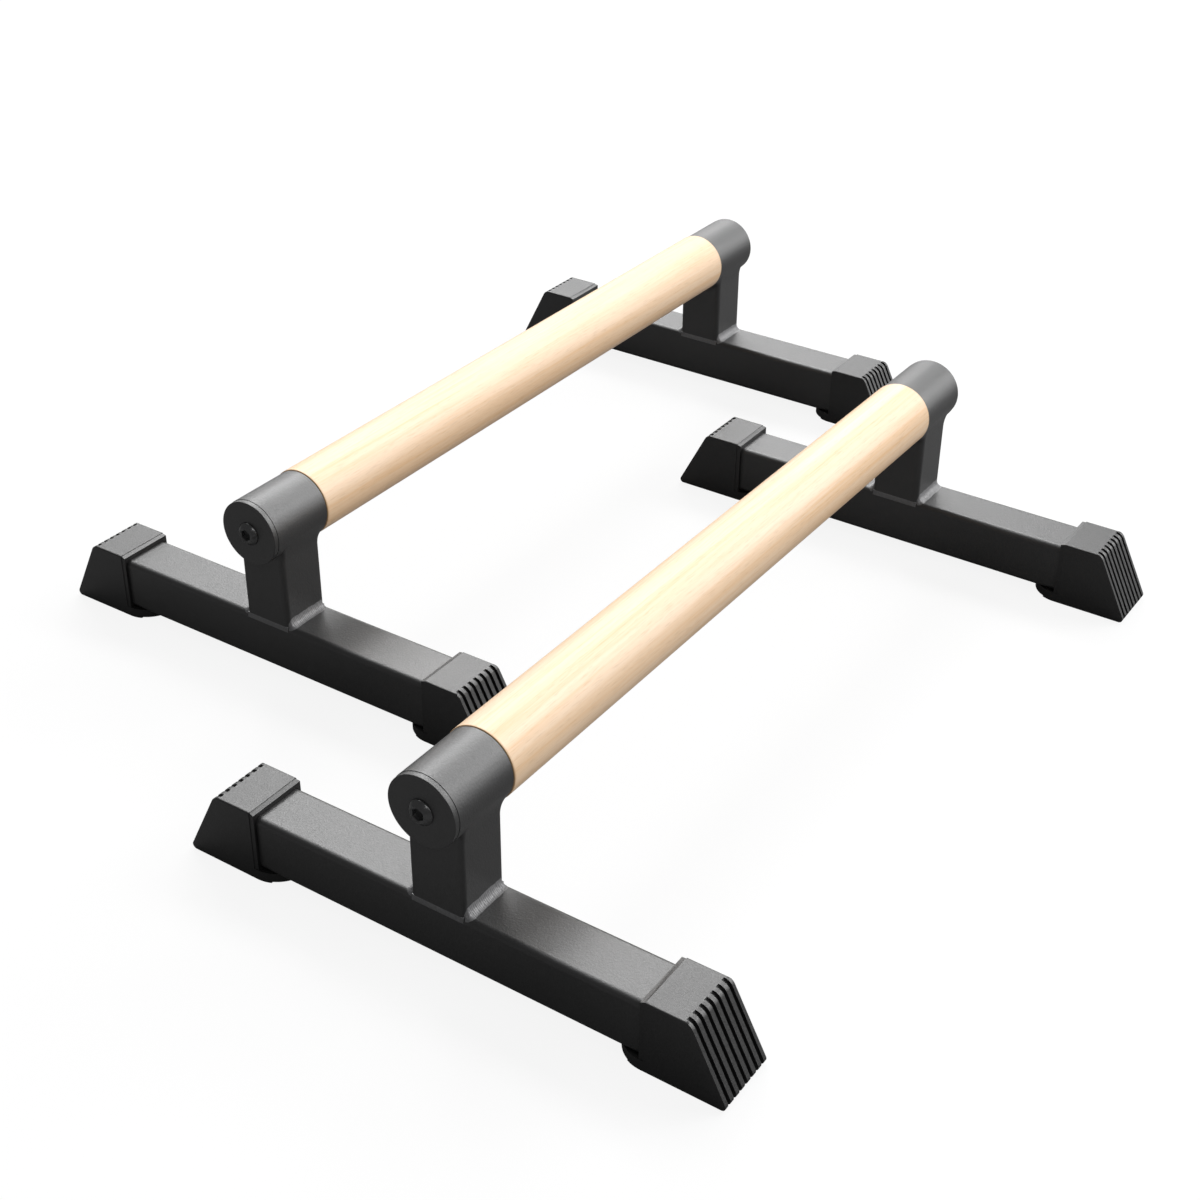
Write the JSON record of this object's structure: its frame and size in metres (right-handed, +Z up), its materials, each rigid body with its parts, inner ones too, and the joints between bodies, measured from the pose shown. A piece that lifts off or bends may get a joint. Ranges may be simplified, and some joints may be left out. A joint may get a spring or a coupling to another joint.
{
  "type": "parallette bar",
  "caption": "Low floor bar for handstands and dips: a round wooden grip on welded square-tube stands with ribbed rubber feet, laid out as a pair.",
  "frame": {"origin": "on the floor, at the middle of the pair's bounding box, midway between the two parallettes", "axes": "X runs along the foot tubes, Y along the grips, +Z up; the right parallette is at +X and forward, towards -Y"},
  "size_m": [0.6952, 0.845, 0.1498],
  "materials": {
    "beech": "satin oiled",
    "powder_coat": "fine textured powder coat",
    "weld": "rippled bead under the same coat",
    "rubber": "matte moulded",
    "black_screw": "gloss black",
    "zinc": "zinc plated"
  },
  "bodies": {
    "root": {"right_grip": "beech", "right_front_collar": "powder_coat", "right_front_end_disc": "powder_coat", "right_front_bolt": "black_screw", "right_front_insert": "zinc", "right_front_upright": "powder_coat", "right_front_foot_tube": "powder_coat", "right_front_base_weld": "weld", "right_front_collar_weld": "weld", "right_front_outer_foot": "rubber", "right_front_inner_foot": "rubber", "right_back_collar": "powder_coat", "right_back_end_disc": "powder_coat", "right_back_bolt": "black_screw", "right_back_insert": "zinc", "right_back_upright": "powder_coat", "right_back_foot_tube": "powder_coat", "right_back_base_weld": "weld", "right_back_collar_weld": "weld", "right_back_outer_foot": "rubber", "right_back_inner_foot": "rubber", "right_foot_screws": "zinc", "left_grip": "beech", "left_front_collar": "powder_coat", "left_front_end_disc": "powder_coat", "left_front_bolt": "black_screw", "left_front_insert": "zinc", "left_front_upright": "powder_coat", "left_front_foot_tube": "powder_coat", "left_front_base_weld": "weld", "left_front_collar_weld": "weld", "left_front_outer_foot": "rubber", "left_front_inner_foot": "rubber", "left_back_collar": "powder_coat", "left_back_end_disc": "powder_coat", "left_back_bolt": "black_screw", "left_back_insert": "zinc", "left_back_upright": "powder_coat", "left_back_foot_tube": "powder_coat", "left_back_base_weld": "weld", "left_back_collar_weld": "weld", "left_back_outer_foot": "rubber", "left_back_inner_foot": "rubber", "left_foot_screws": "zinc"}
  },
  "joints": []
}
